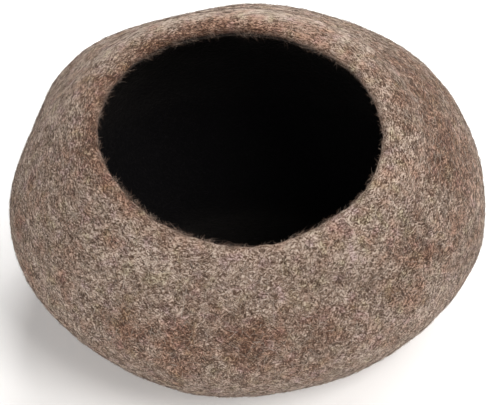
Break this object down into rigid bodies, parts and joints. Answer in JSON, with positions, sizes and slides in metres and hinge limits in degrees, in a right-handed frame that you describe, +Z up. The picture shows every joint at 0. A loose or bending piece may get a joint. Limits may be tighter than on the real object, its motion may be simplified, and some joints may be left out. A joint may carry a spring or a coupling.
{
  "type": "felt cat cave",
  "caption": "Hollow pod of thick wool felt with a slanted, rounded mouth in its upper front, a rolled lip and a flattened base to rest on, for a small pet to curl up in.",
  "frame": {"origin": "bottom centre of the pod's bounding box, on the surface that it rests on", "axes": "+Z up; +X along the pod's width; the mouth leans towards -Y"},
  "size_m": [0.4542, 0.4177, 0.2725],
  "materials": {
    "brown_felt": "matte heathered brown wool felt with short loose fibres, and near-black wool felted on the inside"
  },
  "bodies": {
    "root": {"felt_shell": "brown_felt"}
  },
  "joints": []
}
